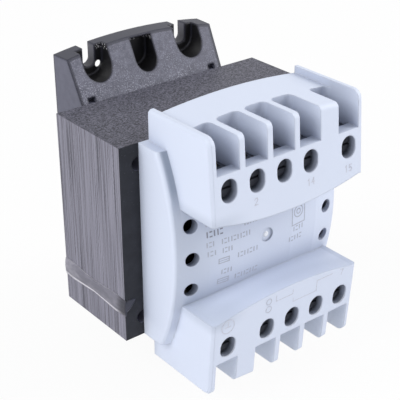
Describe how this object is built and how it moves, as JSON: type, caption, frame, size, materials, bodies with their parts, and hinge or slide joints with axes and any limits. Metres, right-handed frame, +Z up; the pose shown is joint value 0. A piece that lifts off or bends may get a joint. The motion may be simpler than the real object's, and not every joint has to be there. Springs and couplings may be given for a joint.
{
  "type": "din rail transformer",
  "caption": "Open-core mains transformer for rail or panel mounting: welded sheet core, curved cover with screw terminals above and below, and a black base with slotted ears.",
  "frame": {"origin": "centre of the rear mounting face, at mid height of the core", "axes": "+X to the right seen from the front, +Y to the back (towards the rail), +Z up"},
  "size_m": [0.0794, 0.0804, 0.0968],
  "materials": {
    "core_steel": "dark varnished electrical steel, satin",
    "weld": "smooth weld metal",
    "black_moulding": "satin black moulding",
    "former_plastic": "black moulding",
    "copper": "enamelled copper wire",
    "insulation": "insulating paper",
    "tape": "polyester tape",
    "cover_plastic": "pale blue-grey moulding, satin",
    "latch_plastic": "black moulding",
    "spring_steel": "bright wire",
    "clamp_steel": "zinc plated",
    "contact_brass": "tinned brass",
    "screw_steel": "zinc plated"
  },
  "bodies": {
    "transformer": {"e_laminations": "core_steel", "i_laminations": "core_steel", "weld_bead_left": "weld", "weld_bead_right": "weld", "coil_former": "former_plastic", "primary_winding": "copper", "winding_insulation": "insulation", "secondary_winding": "copper", "outer_tape": "tape", "terminal_cover": "cover_plastic", "mounting_base": "black_moulding", "latch_spring": "spring_steel", "upper_terminal_screws": "screw_steel", "lower_terminal_screws": "screw_steel", "earth_strap": "contact_brass", "upper_clamp_1": "clamp_steel", "upper_contact_1": "contact_brass", "upper_clamp_2": "clamp_steel", "upper_contact_2": "contact_brass", "upper_clamp_3": "clamp_steel", "upper_contact_3": "contact_brass", "upper_clamp_4": "clamp_steel", "upper_contact_4": "contact_brass", "upper_clamp_5": "clamp_steel", "upper_contact_5": "contact_brass", "lower_clamp_1": "clamp_steel", "lower_contact_1": "contact_brass", "lower_clamp_2": "clamp_steel", "lower_contact_2": "contact_brass", "lower_clamp_3": "clamp_steel", "lower_contact_3": "contact_brass", "lower_clamp_4": "clamp_steel", "lower_contact_4": "contact_brass", "lower_clamp_5": "clamp_steel", "lower_contact_5": "contact_brass"},
    "latch": {"rail_latch": "latch_plastic"}
  },
  "joints": [
    {"name": "latch_slide", "type": "slide", "parent": "transformer", "child": "latch", "axis": [0, 0, -1], "range_m": [0, 0.004], "stiffness_N_per_m": 2000, "springref_m": -0.002, "deforming": ["latch_spring"]}
  ]
}
